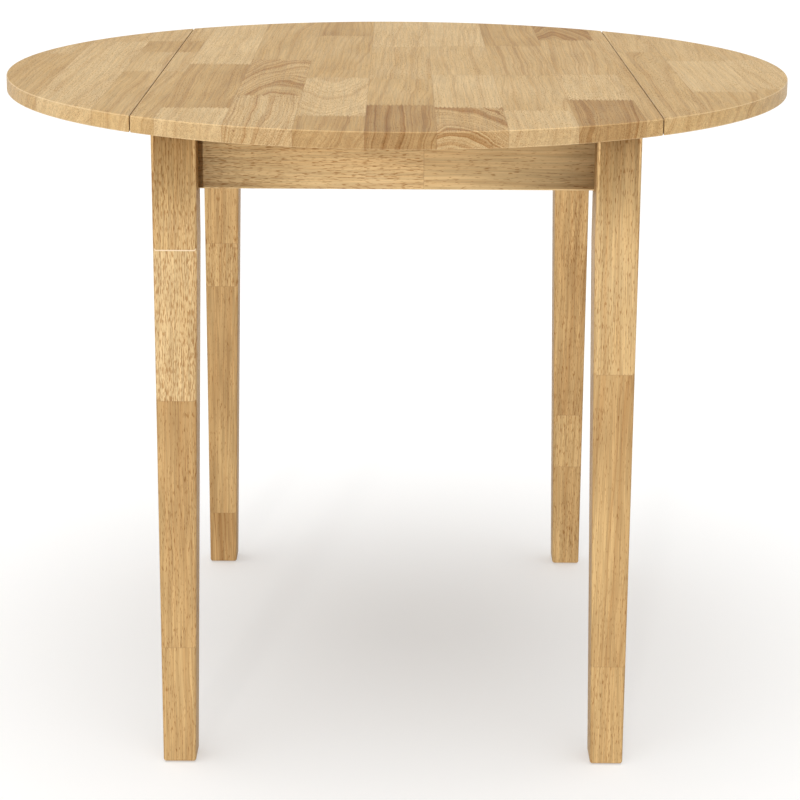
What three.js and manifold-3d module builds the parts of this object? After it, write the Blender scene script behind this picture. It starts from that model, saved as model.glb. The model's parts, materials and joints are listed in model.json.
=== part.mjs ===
// Round drop leaf table: a fixed centre panel on a frame of four tapered legs and four aprons, and two
// leaves that fold down on butt hinges and are carried by slotted steel stays.
//
// Millimetres, +Z up. The table stands on Z = 0 and is centred on X = 0, Y = 0. X runs across the two
// leaves, Y runs along the hinge lines, and the front is the -Y side. Pieces are drawn on the +X side
// or in the +X +Y corner and mirrored to the other places.
import * as THREE from "three";
import { mergeVertices } from "three/addons/utils/BufferGeometryUtils.js";
import Module from "manifold-3d";

const wasm = await Module();
wasm.setup();

// Top
const TOP_DIAMETER = 914;
const TABLE_HEIGHT = 737;
const TOP_THICKNESS = 18;
const CENTRE_WIDTH = 549; // between the two hinge lines
const LEAF_GAP = 1; // between the centre panel and a raised leaf
const TOP_EASE = 2; // rounding along every edge of the top

// Legs
const LEG_SIZE = 47; // square section at the top
const FOOT_SIZE = 36.5; // square section at the floor
const TAPER_TOP = 595; // height at which the two inner faces start to taper
const LEG_EASE = 3; // rounding of the long edges
const FOOT_EASE = 3; // rounding round the foot
const LEG_TO_HINGE_LINE = 17.5; // room beside a leg for a hanging leaf
const CORNER_TO_RIM = 36; // from a leg's outer corner to the rim, at the least

// Aprons
const APRON_HEIGHT = 70;
const APRON_THICKNESS = 18;
const APRON_EASE = 1.5; // rounding of the two lower edges

// Corner blocks and the fasteners through them
const BLOCK_HEIGHT = 45;
const BLOCK_NEAR = 20; // along an apron, from the leg's inner edge to the block's near face
const BLOCK_FAR = 62; // the same to the block's far face
const BOLT_RADIUS = 4;
const BOLT_IN_LEG = 30;
const BOLT_FREE_END = 14; // past the block, for the nut
const NUT_ACROSS_FLATS = 13;
const NUT_HEIGHT = 8;
const NUT_FLANGE_RADIUS = 9;
const NUT_FLANGE_HEIGHT = 1.5;
const SCREW_RADIUS = 2.4;
const SCREW_HEAD_RADIUS = 4.8;
const SCREW_HEAD_HEIGHT = 3;
const SCREW_IN_TOP = 12;
const SCREW_TIP = 4;
const SCREW_BESIDE_BOLT = 14; // between the axes of the bolt and the screw

// Glides
const GLIDE_PROUD = 1;
const GLIDE_RADIUS = 9.5;
const GLIDE_STEM_RADIUS = 4;
const GLIDE_STEM_LENGTH = 13;
const END_CHAMFER = 1; // on the free ends of bolts and glide stems

// Butt hinges
const HINGE_LENGTH = 50;
const HINGE_REACH = 24; // from the pin's axis to a plate's free edge
const HINGE_PLATE = 1.6;
const KNUCKLE_RADIUS = 3;
const HINGE_PIN_RADIUS = 1.3;
const HINGE_PIN_OVERHANG = 0.6;
const MIDDLE_KNUCKLE = 16; // length of the knuckle on the moving plate
const KNUCKLE_RELIEF = 0.5; // from a knuckle to the plate that turns past it
const HINGE_TO_LEG = 31; // along the hinge line
const SMALL_HOLE_RADIUS = 2; // for the wood screws of plates and flanges
const HINGE_HOLE_PITCH = 17;
const HINGE_HOLE_STAGGER = 3; // the middle hole sits this much nearer the free edge

// Leaf stays
const PIVOT_OFFSET = 22; // the strut's pivot is this far inboard of the hinge axis and below it
const STUD_DROP = 8; // from the hinge axis down to the stud of a raised leaf
const STAY_SHEET = 2.5; // steel of the bracket and the track
const STAY_FLANGE = 2; // its flanges, against the wood
const STAY_FLANGE_WIDTH = 18;
const BRACKET_REACH = 15; // half-length of the bracket's web along the top
const BRACKET_FLANGE_REACH = 18; // half-length of its flange
const EAR_RADIUS = 8;
const STRUT_THICKNESS = 3;
const STRUT_HALF_WIDTH = 7;
const RIVET_RADIUS = 3;
const RIVET_HEAD_RADIUS = 5.5;
const RIVET_HEAD_HEIGHT = 1.6;
const RIVET_HEAD_EDGE = 0.8; // straight part of a rivet head before its slope
const TRACK_RIM_MARGIN = 30; // from the track to the leaf's rim
const TRACK_END_WALL = 10; // from the stud's axis to the track's end
const TRACK_LOWER_WALL = 4; // steel below the slot
const STAY_TO_HINGE = 77; // between a stay's flange and a hinge's end
const FLANGE_HOLE_SHARE = 2 / 3; // a flange's outer holes lie at this share of its half-length

// Clearances
const RUNNING_GAP = 0.3; // beside and round what turns
const HOLE_GAP = 0.3; // round a bolt, screw or stem in its hole
const SLOT_GAP = 0.4; // between the stud and each side of its slot
const SEAT_GAP = 0.3; // under a nut on a slanted face
const OVERCUT = 1; // a cutter reaches this far past the faces that it goes through

// Facets
const ROUND_SEGMENTS = 12;
const SMALL_CURVE = 4; // an arc of a small outline has twice as many sides
const EASE_CURVE = 2; // the same for the rounding of an edge
const CENTRE_CURVE = 10; // the centre panel's rim, front and back
const LEAF_CURVE = 14; // a leaf's rim

// Places that follow from the sizes
const TOP_RADIUS = TOP_DIAMETER / 2;
const UNDERSIDE = TABLE_HEIGHT - TOP_THICKNESS;
const HINGE_X = CENTRE_WIDTH / 2;
const HINGE_Z = UNDERSIDE - KNUCKLE_RADIUS;
const LEG_OUTER_X = HINGE_X - LEG_TO_HINGE_LINE;
const LEG_OUTER_Y = Math.floor(Math.sqrt((TOP_RADIUS - CORNER_TO_RIM) ** 2 - LEG_OUTER_X ** 2));
const LEG_INNER_X = LEG_OUTER_X - LEG_SIZE;
const LEG_INNER_Y = LEG_OUTER_Y - LEG_SIZE;
const HINGE_Y = LEG_INNER_Y - HINGE_TO_LEG - HINGE_LENGTH / 2;
const STAY_Y = HINGE_Y - HINGE_LENGTH / 2 - STAY_TO_HINGE - STAY_FLANGE_WIDTH;

const WOOD = new THREE.MeshStandardMaterial({ color: 0xd0ae7c, roughness: 0.45, metalness: 0 });
const STEEL = new THREE.MeshStandardMaterial({ color: 0xa9a8a2, roughness: 0.35, metalness: 0.9 });
const NYLON = new THREE.MeshStandardMaterial({ color: 0x4a443c, roughness: 0.6, metalness: 0 });

const table = new THREE.Group();

function addPiece(name, geometry, material, mirrorX = 1, mirrorY = 1) {
  const mesh = new THREE.Mesh(geometry, material);
  mesh.name = name;
  mesh.scale.set(mirrorX, mirrorY, 1);
  table.add(mesh);
}

// Solids for cuts and joins

function solidOf(geometry) {
  const bare = geometry.index ? geometry.toNonIndexed() : geometry.clone();
  bare.deleteAttribute("normal");
  bare.deleteAttribute("uv");
  const merged = mergeVertices(bare, 1e-3);
  return new wasm.Manifold(
    new wasm.Mesh({
      numProp: 3,
      vertProperties: merged.attributes.position.array,
      triVerts: new Uint32Array(merged.index.array),
    }),
  );
}

function geometryOf(solid) {
  const { vertProperties, triVerts } = solid.getMesh();
  const geometry = new THREE.BufferGeometry();
  geometry.setAttribute("position", new THREE.BufferAttribute(vertProperties, 3));
  geometry.setIndex(new THREE.BufferAttribute(triVerts, 1));
  geometry.computeVertexNormals();
  return geometry;
}

function join(...geometries) {
  return geometryOf(geometries.map(solidOf).reduce((whole, next) => whole.add(next)));
}

function cut(geometry, ...tools) {
  return geometryOf(tools.map(solidOf).reduce((whole, tool) => whole.subtract(tool), solidOf(geometry)));
}

// Basic shapes

function bar([x0, x1], [y0, y1], [z0, z1]) {
  return new THREE.BoxGeometry(x1 - x0, y1 - y0, z1 - z0).translate(
    (x0 + x1) / 2,
    (y0 + y1) / 2,
    (z0 + z1) / 2,
  );
}

// A shape turned round its own axis, from [radius, distance along the axis] points, set with that axis
// running through `origin` in the direction `axis`.
function turned(points, origin, axis) {
  const profile = points.map(([radius, distance]) => new THREE.Vector2(radius, distance));
  const turn = new THREE.Quaternion().setFromUnitVectors(new THREE.Vector3(0, 1, 0), axis);
  return new THREE.LatheGeometry(profile, ROUND_SEGMENTS).applyQuaternion(turn).translate(...origin);
}

function rod(radius, from, to, origin, axis) {
  const points = [
    [0, from],
    [radius, from],
    [radius, to],
    [0, to],
  ];
  return turned(points, origin, axis);
}

const ALONG_Y = new THREE.Vector3(0, 1, 0);
const UPWARDS = new THREE.Vector3(0, 0, 1);

// A flat sheet drawn in X and Z, filling Y from y0 to y1
function sheet(shape, [y0, y1]) {
  return new THREE.ExtrudeGeometry(shape, {
    depth: y1 - y0,
    bevelEnabled: false,
    curveSegments: SMALL_CURVE,
  })
    .rotateX(Math.PI / 2)
    .translate(0, y1, 0);
}

function roundedSquare(size, radius) {
  const shape = new THREE.Shape();
  shape.absarc(radius, radius, radius, Math.PI, 1.5 * Math.PI);
  shape.absarc(size - radius, radius, radius, -0.5 * Math.PI, 0);
  shape.absarc(size - radius, size - radius, radius, 0, 0.5 * Math.PI);
  shape.absarc(radius, size - radius, radius, 0.5 * Math.PI, Math.PI);
  return shape;
}

// Top panels: outlines on the round rim, extruded with eased edges

function panel(outline, curveSegments) {
  return new THREE.ExtrudeGeometry(outline, {
    depth: TOP_THICKNESS - 2 * TOP_EASE,
    bevelThickness: TOP_EASE,
    bevelSize: TOP_EASE,
    bevelOffset: -TOP_EASE,
    bevelSegments: EASE_CURVE,
    curveSegments,
  }).translate(0, 0, UNDERSIDE + TOP_EASE);
}

function centrePanel() {
  const edge = Math.acos((HINGE_X - LEAF_GAP / 2) / TOP_RADIUS);
  const outline = new THREE.Shape();
  outline.absarc(0, 0, TOP_RADIUS, edge, Math.PI - edge);
  outline.absarc(0, 0, TOP_RADIUS, Math.PI + edge, 2 * Math.PI - edge);
  return panel(outline, CENTRE_CURVE);
}

function leaf() {
  const edge = Math.acos((HINGE_X + LEAF_GAP / 2) / TOP_RADIUS);
  const outline = new THREE.Shape();
  outline.absarc(0, 0, TOP_RADIUS, -edge, edge);
  return panel(outline, LEAF_CURVE);
}

// Legs: a rounded square drawn up through rings that set its size at each height. The outer two faces
// stay upright, so the taper is all on the inner faces.

function leg() {
  const footRings = [0, 30, 60, 90].map((degrees) => {
    const angle = THREE.MathUtils.degToRad(degrees);
    return {
      height: GLIDE_PROUD + FOOT_EASE * (1 - Math.cos(angle)),
      size: FOOT_SIZE,
      inset: FOOT_EASE * (1 - Math.sin(angle)),
    };
  });
  const rings = [
    ...footRings,
    { height: TAPER_TOP, size: LEG_SIZE, inset: 0 },
    { height: UNDERSIDE, size: LEG_SIZE, inset: 0 },
  ];
  const geometry = new THREE.ExtrudeGeometry(roundedSquare(LEG_SIZE, LEG_EASE), {
    depth: rings.length - 1,
    steps: rings.length - 1,
    bevelEnabled: false,
    curveSegments: EASE_CURVE,
  });
  const place = geometry.attributes.position;
  for (let i = 0; i < place.count; i += 1) {
    const ring = rings[Math.round(place.getZ(i))];
    const scale = (ring.size - 2 * ring.inset) / LEG_SIZE;
    const inwardX = ring.inset + place.getX(i) * scale;
    const inwardY = ring.inset + place.getY(i) * scale;
    place.setXYZ(i, LEG_OUTER_X - inwardX, LEG_OUTER_Y - inwardY, ring.height);
  }
  const stemHole = rod(
    GLIDE_STEM_RADIUS + HOLE_GAP,
    0,
    GLIDE_PROUD + GLIDE_STEM_LENGTH + HOLE_GAP,
    FOOT_CENTRE,
    UPWARDS,
  );
  return cut(geometry, boltHole(), stemHole);
}

// Corner joint: the block, the hanger bolt with its nut, the screw into the top, and the glide

const INTO_TABLE = new THREE.Vector3(-1, -1, 0).normalize();
const ALONG_BLOCK = new THREE.Vector3(1, -1, 0).normalize();
const BLOCK_BOTTOM = UNDERSIDE - BLOCK_HEIGHT;
const BLOCK_FAR_FACE = BLOCK_FAR / Math.SQRT2; // from the leg's inner edge, along the bolt
const BLOCK_NEAR_FACE = BLOCK_NEAR / Math.SQRT2;
const INNER_EDGE = [LEG_INNER_X, LEG_INNER_Y, UNDERSIDE - BLOCK_HEIGHT / 2];
const FOOT_CENTRE = [LEG_OUTER_X - FOOT_SIZE / 2, LEG_OUTER_Y - FOOT_SIZE / 2, 0];
const SCREW_FOOT = new THREE.Vector3(LEG_INNER_X, LEG_INNER_Y, BLOCK_BOTTOM)
  .addScaledVector(INTO_TABLE, (BLOCK_NEAR_FACE + BLOCK_FAR_FACE) / 2)
  .addScaledVector(ALONG_BLOCK, SCREW_BESIDE_BOLT)
  .toArray();

// The clearance hole for a hanger bolt, through leg, apron ends and block
function boltHole(mirrorX = 1, mirrorY = 1) {
  const [x, y, z] = INNER_EDGE;
  const axis = INTO_TABLE.clone().multiply(new THREE.Vector3(mirrorX, mirrorY, 1));
  const origin = [mirrorX * x, mirrorY * y, z];
  return rod(BOLT_RADIUS + HOLE_GAP, -BOLT_IN_LEG - HOLE_GAP, BLOCK_FAR, origin, axis);
}

function cornerBlock() {
  const outline = new THREE.Shape([
    new THREE.Vector2(LEG_INNER_X, LEG_INNER_Y - BLOCK_NEAR),
    new THREE.Vector2(LEG_INNER_X - BLOCK_NEAR, LEG_INNER_Y),
    new THREE.Vector2(LEG_INNER_X - BLOCK_FAR, LEG_INNER_Y),
    new THREE.Vector2(LEG_INNER_X, LEG_INNER_Y - BLOCK_FAR),
  ]);
  const block = new THREE.ExtrudeGeometry(outline, {
    depth: BLOCK_HEIGHT,
    bevelEnabled: false,
  }).translate(0, 0, BLOCK_BOTTOM);
  const screwHole = rod(SCREW_RADIUS + HOLE_GAP, -OVERCUT, BLOCK_HEIGHT + OVERCUT, SCREW_FOOT, UPWARDS);
  return cut(block, boltHole(), screwHole);
}

function legBolt() {
  const points = [
    [0, -BOLT_IN_LEG],
    [BOLT_RADIUS / 2, -BOLT_IN_LEG],
    [BOLT_RADIUS, -BOLT_IN_LEG + BOLT_RADIUS],
    [BOLT_RADIUS, BLOCK_FAR_FACE + BOLT_FREE_END - END_CHAMFER],
    [BOLT_RADIUS - END_CHAMFER, BLOCK_FAR_FACE + BOLT_FREE_END],
    [0, BLOCK_FAR_FACE + BOLT_FREE_END],
  ];
  return turned(points, INNER_EDGE, INTO_TABLE);
}

function legNut() {
  const hexagon = new THREE.Shape();
  const cornerRadius = NUT_ACROSS_FLATS / Math.sqrt(3);
  for (let corner = 0; corner < 6; corner += 1) {
    const angle = (corner * Math.PI) / 3;
    const point = [cornerRadius * Math.cos(angle), cornerRadius * Math.sin(angle)];
    if (corner === 0) hexagon.moveTo(...point);
    else hexagon.lineTo(...point);
  }
  const turn = new THREE.Quaternion().setFromUnitVectors(UPWARDS, INTO_TABLE);
  const seat = BLOCK_FAR_FACE + SEAT_GAP;
  const start = new THREE.Vector3(...INNER_EDGE).addScaledVector(INTO_TABLE, seat);
  const body = new THREE.ExtrudeGeometry(hexagon, { depth: NUT_HEIGHT, bevelEnabled: false })
    .applyQuaternion(turn)
    .translate(...start.toArray());
  const flange = rod(NUT_FLANGE_RADIUS, seat, seat + NUT_FLANGE_HEIGHT, INNER_EDGE, INTO_TABLE);
  const bore = rod(BOLT_RADIUS + HOLE_GAP, 0, BLOCK_FAR + NUT_HEIGHT, INNER_EDGE, INTO_TABLE);
  return cut(join(body, flange), bore);
}

function topScrew() {
  const tip = BLOCK_HEIGHT + SCREW_IN_TOP;
  const points = [
    [0, -SCREW_HEAD_HEIGHT],
    [SCREW_HEAD_RADIUS / 2, -SCREW_HEAD_HEIGHT],
    [SCREW_HEAD_RADIUS, -SCREW_HEAD_HEIGHT / 2],
    [SCREW_HEAD_RADIUS, 0],
    [SCREW_RADIUS, 0],
    [SCREW_RADIUS, tip - SCREW_TIP],
    [0, tip],
  ];
  return turned(points, SCREW_FOOT, UPWARDS);
}

function screwHolesInTop() {
  const holes = [];
  for (const mirrorX of [1, -1]) {
    for (const mirrorY of [1, -1]) {
      const [x, y, z] = SCREW_FOOT;
      const end = BLOCK_HEIGHT + SCREW_IN_TOP + HOLE_GAP;
      holes.push(rod(SCREW_RADIUS + HOLE_GAP, 0, end, [mirrorX * x, mirrorY * y, z], UPWARDS));
    }
  }
  return holes;
}

function glide() {
  const points = [
    [0, 0],
    [GLIDE_RADIUS - GLIDE_PROUD / 2, 0],
    [GLIDE_RADIUS, GLIDE_PROUD / 2],
    [GLIDE_RADIUS, GLIDE_PROUD],
    [GLIDE_STEM_RADIUS, GLIDE_PROUD],
    [GLIDE_STEM_RADIUS, GLIDE_PROUD + GLIDE_STEM_LENGTH - END_CHAMFER],
    [GLIDE_STEM_RADIUS - END_CHAMFER, GLIDE_PROUD + GLIDE_STEM_LENGTH],
    [0, GLIDE_PROUD + GLIDE_STEM_LENGTH],
  ];
  return turned(points, FOOT_CENTRE, UPWARDS);
}

// Aprons: their inner faces are in line with the legs' inner faces, and the bolts nick their ends

// The section in Y and Z of an apron whose inner face is at Y = 0, its top at Z = 0
function apronSection() {
  const bottom = -APRON_HEIGHT;
  const shape = new THREE.Shape();
  shape.moveTo(0, 0);
  shape.lineTo(0, bottom + APRON_EASE);
  shape.absarc(APRON_EASE, bottom + APRON_EASE, APRON_EASE, Math.PI, 1.5 * Math.PI);
  shape.absarc(APRON_THICKNESS - APRON_EASE, bottom + APRON_EASE, APRON_EASE, -0.5 * Math.PI, 0);
  shape.lineTo(APRON_THICKNESS, 0);
  return shape;
}

function apron(length) {
  const section = new THREE.ExtrudeGeometry(apronSection(), {
    depth: length,
    bevelEnabled: false,
    curveSegments: EASE_CURVE,
  });
  // The drawing's X, Y and depth become Y, Z and X.
  const turn = new THREE.Matrix4().set(0, 0, 1, -length / 2, 1, 0, 0, 0, 0, 1, 0, UNDERSIDE, 0, 0, 0, 1);
  return section.applyMatrix4(turn);
}

function rearApron() {
  const plain = apron(2 * LEG_INNER_X).translate(0, LEG_INNER_Y, 0);
  return cut(plain, boltHole(1, 1), boltHole(-1, 1));
}

function rightApron() {
  // A quarter turn that sends Y to X and X to -Y keeps every coordinate exact.
  const turn = new THREE.Matrix4().set(0, 1, 0, LEG_INNER_X, -1, 0, 0, 0, 0, 0, 1, 0, 0, 0, 0, 1);
  const plain = apron(2 * LEG_INNER_Y).applyMatrix4(turn);
  return cut(plain, boltHole(1, 1), boltHole(1, -1));
}

// Butt hinges, on the underside with their pin at the joint line

const PLATE_Z = [UNDERSIDE - HINGE_PLATE, UNDERSIDE];
const MIDDLE_END = MIDDLE_KNUCKLE / 2;
const HINGE_END = HINGE_LENGTH / 2;
const RELIEF = KNUCKLE_RADIUS + KNUCKLE_RELIEF;

function knuckle(y, from, to) {
  return rod(KNUCKLE_RADIUS, from, to, [HINGE_X, y, HINGE_Z], ALONG_Y);
}

function hingeBore(y) {
  const end = HINGE_END + OVERCUT;
  return rod(HINGE_PIN_RADIUS + HOLE_GAP, -end, end, [HINGE_X, y, HINGE_Z], ALONG_Y);
}

// Three screw holes; `outward` is 1 on the leaf and -1 on the centre panel
function hingeHoles(y, outward) {
  const middle = (RELIEF + HINGE_REACH) / 2;
  return [-1, 0, 1].map((step) => {
    const reach = step === 0 ? middle + HINGE_HOLE_STAGGER : middle;
    const foot = [HINGE_X + outward * reach, y + step * HINGE_HOLE_PITCH, HINGE_Z];
    return rod(SMALL_HOLE_RADIUS, 0, 2 * KNUCKLE_RADIUS, foot, UPWARDS);
  });
}

// Room in a plate for a knuckle of the other plate
function knuckleRelief(y, from, to) {
  const across = [HINGE_X - RELIEF, HINGE_X + RELIEF];
  return bar(across, [y + from, y + to], [HINGE_Z - RELIEF, UNDERSIDE + OVERCUT]);
}

function fixedPlate(y) {
  const start = MIDDLE_END + RUNNING_GAP;
  const whole = join(
    bar([HINGE_X - HINGE_REACH, HINGE_X], [y - HINGE_END, y + HINGE_END], PLATE_Z),
    knuckle(y, -HINGE_END, -start),
    knuckle(y, start, HINGE_END),
  );
  return cut(whole, knuckleRelief(y, -start, start), hingeBore(y), ...hingeHoles(y, -1));
}

function movingPlate(y) {
  const whole = join(
    bar([HINGE_X, HINGE_X + HINGE_REACH], [y - HINGE_END, y + HINGE_END], PLATE_Z),
    knuckle(y, -MIDDLE_END, MIDDLE_END),
  );
  const reliefs = [
    knuckleRelief(y, -HINGE_END - OVERCUT, -MIDDLE_END),
    knuckleRelief(y, MIDDLE_END, HINGE_END + OVERCUT),
  ];
  return cut(whole, ...reliefs, hingeBore(y), ...hingeHoles(y, 1));
}

function hingePin(y) {
  const end = HINGE_END + HINGE_PIN_OVERHANG;
  const edge = HINGE_PIN_RADIUS / 3;
  const points = [
    [0, -end],
    [HINGE_PIN_RADIUS - edge, -end],
    [HINGE_PIN_RADIUS, -end + edge],
    [HINGE_PIN_RADIUS, end - edge],
    [HINGE_PIN_RADIUS - edge, end],
    [0, end],
  ];
  return turned(points, [HINGE_X, y, HINGE_Z], ALONG_Y);
}

// Leaf stays. The strut's pivot is as far inboard of the hinge axis as it is below it, so the strut
// turns by the same angle as the leaf. Seen from the leaf, the stud then moves on a quarter circle whose
// radius is the pivot's distance from the hinge axis, and the slot is that arc.

const PIVOT_X = HINGE_X - PIVOT_OFFSET;
const PIVOT_Z = HINGE_Z - PIVOT_OFFSET;
const SLOT_RADIUS = PIVOT_OFFSET * Math.SQRT2;
const TRACK_OUTER_X =
  Math.sqrt(TOP_RADIUS ** 2 - (STAY_Y + STAY_FLANGE_WIDTH) ** 2) - TRACK_RIM_MARGIN;
const STUD_OUT_X = TRACK_OUTER_X - TRACK_END_WALL; // the stud's place in the leaf when the leaf hangs
const STUD_X = STUD_OUT_X - 2 * PIVOT_OFFSET; // its place with the leaf up
const STUD_Z = HINGE_Z - STUD_DROP;
const STRUT_LENGTH = Math.hypot(STUD_X - PIVOT_X, STUD_Z - PIVOT_Z);
const STRUT_TILT = Math.atan2(STUD_Z - PIVOT_Z, STUD_X - PIVOT_X);
const SLOT_CENTRE_X = STUD_X + PIVOT_OFFSET;
const SLOT_CENTRE_Z = STUD_Z + PIVOT_OFFSET;
const TRACK_INNER_X = STUD_X - TRACK_END_WALL;
const WEB_Y = [STAY_Y, STAY_Y + STAY_SHEET];
const FLANGE_Y = [STAY_Y, STAY_Y + STAY_FLANGE_WIDTH];
const FLANGE_Z = [UNDERSIDE - STAY_FLANGE, UNDERSIDE];
const STRUT_Y = [STAY_Y - RUNNING_GAP - STRUT_THICKNESS, STAY_Y - RUNNING_GAP];

function flangeHoles(xs) {
  const y = (STAY_Y + STAY_SHEET + FLANGE_Y[1]) / 2;
  const [bottom] = FLANGE_Z;
  return xs.map((x) => rod(SMALL_HOLE_RADIUS, -OVERCUT, STAY_FLANGE + OVERCUT, [x, y, bottom], UPWARDS));
}

// The rivet's hole through a sheet that starts at `y`
function pivotBore(y, thickness) {
  const origin = [PIVOT_X, y, PIVOT_Z];
  return rod(RIVET_RADIUS + HOLE_GAP, -OVERCUT, thickness + OVERCUT, origin, ALONG_Y);
}

function stayBracket() {
  const web = new THREE.Shape();
  web.moveTo(PIVOT_X + BRACKET_REACH, UNDERSIDE);
  web.lineTo(PIVOT_X - BRACKET_REACH, UNDERSIDE);
  web.lineTo(PIVOT_X - BRACKET_REACH, FLANGE_Z[0] - STAY_FLANGE);
  web.absarc(PIVOT_X, PIVOT_Z, EAR_RADIUS, Math.PI, 2 * Math.PI);
  web.lineTo(PIVOT_X + BRACKET_REACH, FLANGE_Z[0] - STAY_FLANGE);
  const flangeX = [PIVOT_X - BRACKET_FLANGE_REACH, PIVOT_X + BRACKET_FLANGE_REACH];
  const whole = join(sheet(web, WEB_Y), bar(flangeX, FLANGE_Y, FLANGE_Z));
  const toHole = BRACKET_REACH * FLANGE_HOLE_SHARE;
  return cut(whole, pivotBore(STAY_Y, STAY_SHEET), ...flangeHoles([PIVOT_X - toHole, PIVOT_X + toHole]));
}

// A rivet along Y with a head beside the strut and a head beside the web. Its shank starts at
// `headGap` from the strut.
function rivet(x, z, headGap) {
  const near = STRUT_Y[0] - headGap;
  const far = WEB_Y[1] + RUNNING_GAP;
  const points = [
    [0, near - RIVET_HEAD_HEIGHT],
    [RIVET_HEAD_RADIUS - RIVET_HEAD_EDGE, near - RIVET_HEAD_HEIGHT],
    [RIVET_HEAD_RADIUS, near - RIVET_HEAD_EDGE],
    [RIVET_HEAD_RADIUS, near],
    [RIVET_RADIUS, near],
    [RIVET_RADIUS, far],
    [RIVET_HEAD_RADIUS, far],
    [RIVET_HEAD_RADIUS, far + RIVET_HEAD_EDGE],
    [RIVET_HEAD_RADIUS - RIVET_HEAD_EDGE, far + RIVET_HEAD_HEIGHT],
    [0, far + RIVET_HEAD_HEIGHT],
  ];
  return turned(points, [x, 0, z], ALONG_Y);
}

// The strut is a flat bar with round ends, drawn along X from its pivot and then tilted. The stud that
// runs in the slot is riveted into its far end.
function stayStrut() {
  const outline = new THREE.Shape();
  outline.absarc(0, 0, STRUT_HALF_WIDTH, 0.5 * Math.PI, 1.5 * Math.PI);
  outline.absarc(STRUT_LENGTH, 0, STRUT_HALF_WIDTH, -0.5 * Math.PI, 0.5 * Math.PI);
  const flat = sheet(outline, STRUT_Y).rotateY(-STRUT_TILT).translate(PIVOT_X, 0, PIVOT_Z);
  return join(cut(flat, pivotBore(STRUT_Y[0], STRUT_THICKNESS)), rivet(STUD_X, STUD_Z, 0));
}

// The slot is a quarter turn long, an eighth to each side of straight down
function slotOutline() {
  const half = RIVET_RADIUS + SLOT_GAP;
  const down = 1.5 * Math.PI;
  const start = down - Math.PI / 4;
  const end = down + Math.PI / 4;
  const slot = new THREE.Path();
  slot.absarc(SLOT_CENTRE_X, SLOT_CENTRE_Z, SLOT_RADIUS + half, start, end);
  slot.absarc(STUD_OUT_X, STUD_Z, half, end, end + Math.PI);
  slot.absarc(SLOT_CENTRE_X, SLOT_CENTRE_Z, SLOT_RADIUS - half, end, start, true);
  slot.absarc(STUD_X, STUD_Z, half, start - Math.PI, start);
  return slot;
}

function stayTrack() {
  const lowerRadius = SLOT_RADIUS + RIVET_RADIUS + SLOT_GAP + TRACK_LOWER_WALL;
  const halfLength = TRACK_OUTER_X - SLOT_CENTRE_X;
  const edge = Math.acos(halfLength / lowerRadius);
  const web = new THREE.Shape();
  web.moveTo(TRACK_OUTER_X, UNDERSIDE);
  web.lineTo(TRACK_INNER_X, UNDERSIDE);
  web.absarc(SLOT_CENTRE_X, SLOT_CENTRE_Z, lowerRadius, Math.PI + edge, 2 * Math.PI - edge);
  web.holes.push(slotOutline());
  const whole = join(sheet(web, WEB_Y), bar([TRACK_INNER_X, TRACK_OUTER_X], FLANGE_Y, FLANGE_Z));
  const holes = [-1, 0, 1].map((step) => SLOT_CENTRE_X + step * halfLength * FLANGE_HOLE_SHARE);
  return cut(whole, ...flangeHoles(holes));
}

// Assembly

const SIDES = [
  { side: "right", mirrorX: 1 },
  { side: "left", mirrorX: -1 },
];
const ENDS = [
  { end: "rear", mirrorY: 1 },
  { end: "front", mirrorY: -1 },
];

addPiece("centre_top", cut(centrePanel(), ...screwHolesInTop()), WOOD);
const leafShape = leaf();
const sideApron = rightApron();
for (const { side, mirrorX } of SIDES) {
  addPiece(`${side}_leaf`, leafShape, WOOD, mirrorX);
  addPiece(`${side}_apron`, sideApron, WOOD, mirrorX);
}
const endApron = rearApron();
for (const { end, mirrorY } of ENDS) {
  addPiece(`${end}_apron`, endApron, WOOD, 1, mirrorY);
}

const CORNER_PIECES = [
  { name: "leg", geometry: leg(), material: WOOD },
  { name: "corner_block", geometry: cornerBlock(), material: WOOD },
  { name: "leg_bolt", geometry: legBolt(), material: STEEL },
  { name: "leg_nut", geometry: legNut(), material: STEEL },
  { name: "top_screw", geometry: topScrew(), material: STEEL },
  { name: "glide", geometry: glide(), material: NYLON },
  { name: "hinge_fixed_plate", geometry: fixedPlate(HINGE_Y), material: STEEL },
  { name: "hinge_moving_plate", geometry: movingPlate(HINGE_Y), material: STEEL },
  { name: "hinge_pin", geometry: hingePin(HINGE_Y), material: STEEL },
  { name: "stay_bracket", geometry: stayBracket(), material: STEEL },
  { name: "stay_rivet", geometry: rivet(PIVOT_X, PIVOT_Z, RUNNING_GAP), material: STEEL },
  { name: "stay_strut", geometry: stayStrut(), material: STEEL },
  { name: "stay_track", geometry: stayTrack(), material: STEEL },
];
for (const { name, geometry, material } of CORNER_PIECES) {
  for (const { end, mirrorY } of ENDS) {
    for (const { side, mirrorX } of SIDES) {
      addPiece(`${name}_${end}_${side}`, geometry, material, mirrorX, mirrorY);
    }
  }
}

export default table;
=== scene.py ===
# %% [markdown]
# # A round drop leaf table in finger-jointed rubberwood
#
# The table has a fixed centre panel and two leaves that fold down. The panels and legs are glued up from
# short boards, joined end to end by small zigzag fingers, so its look comes mostly from the wood: every
# board has its own tone, its own growth rings and its own direction of cut. The steel work under the top
# (hinges, leaf stays, bolts) is small, but it is modelled piece by piece too.
#
# The measured model comes in as a frame. Everything made here takes its place from that frame, in metres,
# with +Z up, X across the leaves, and the front on the -Y side.

# %% Load the frame
import json
import math

import bmesh
import bpy
from mathutils import Matrix, Vector


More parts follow.
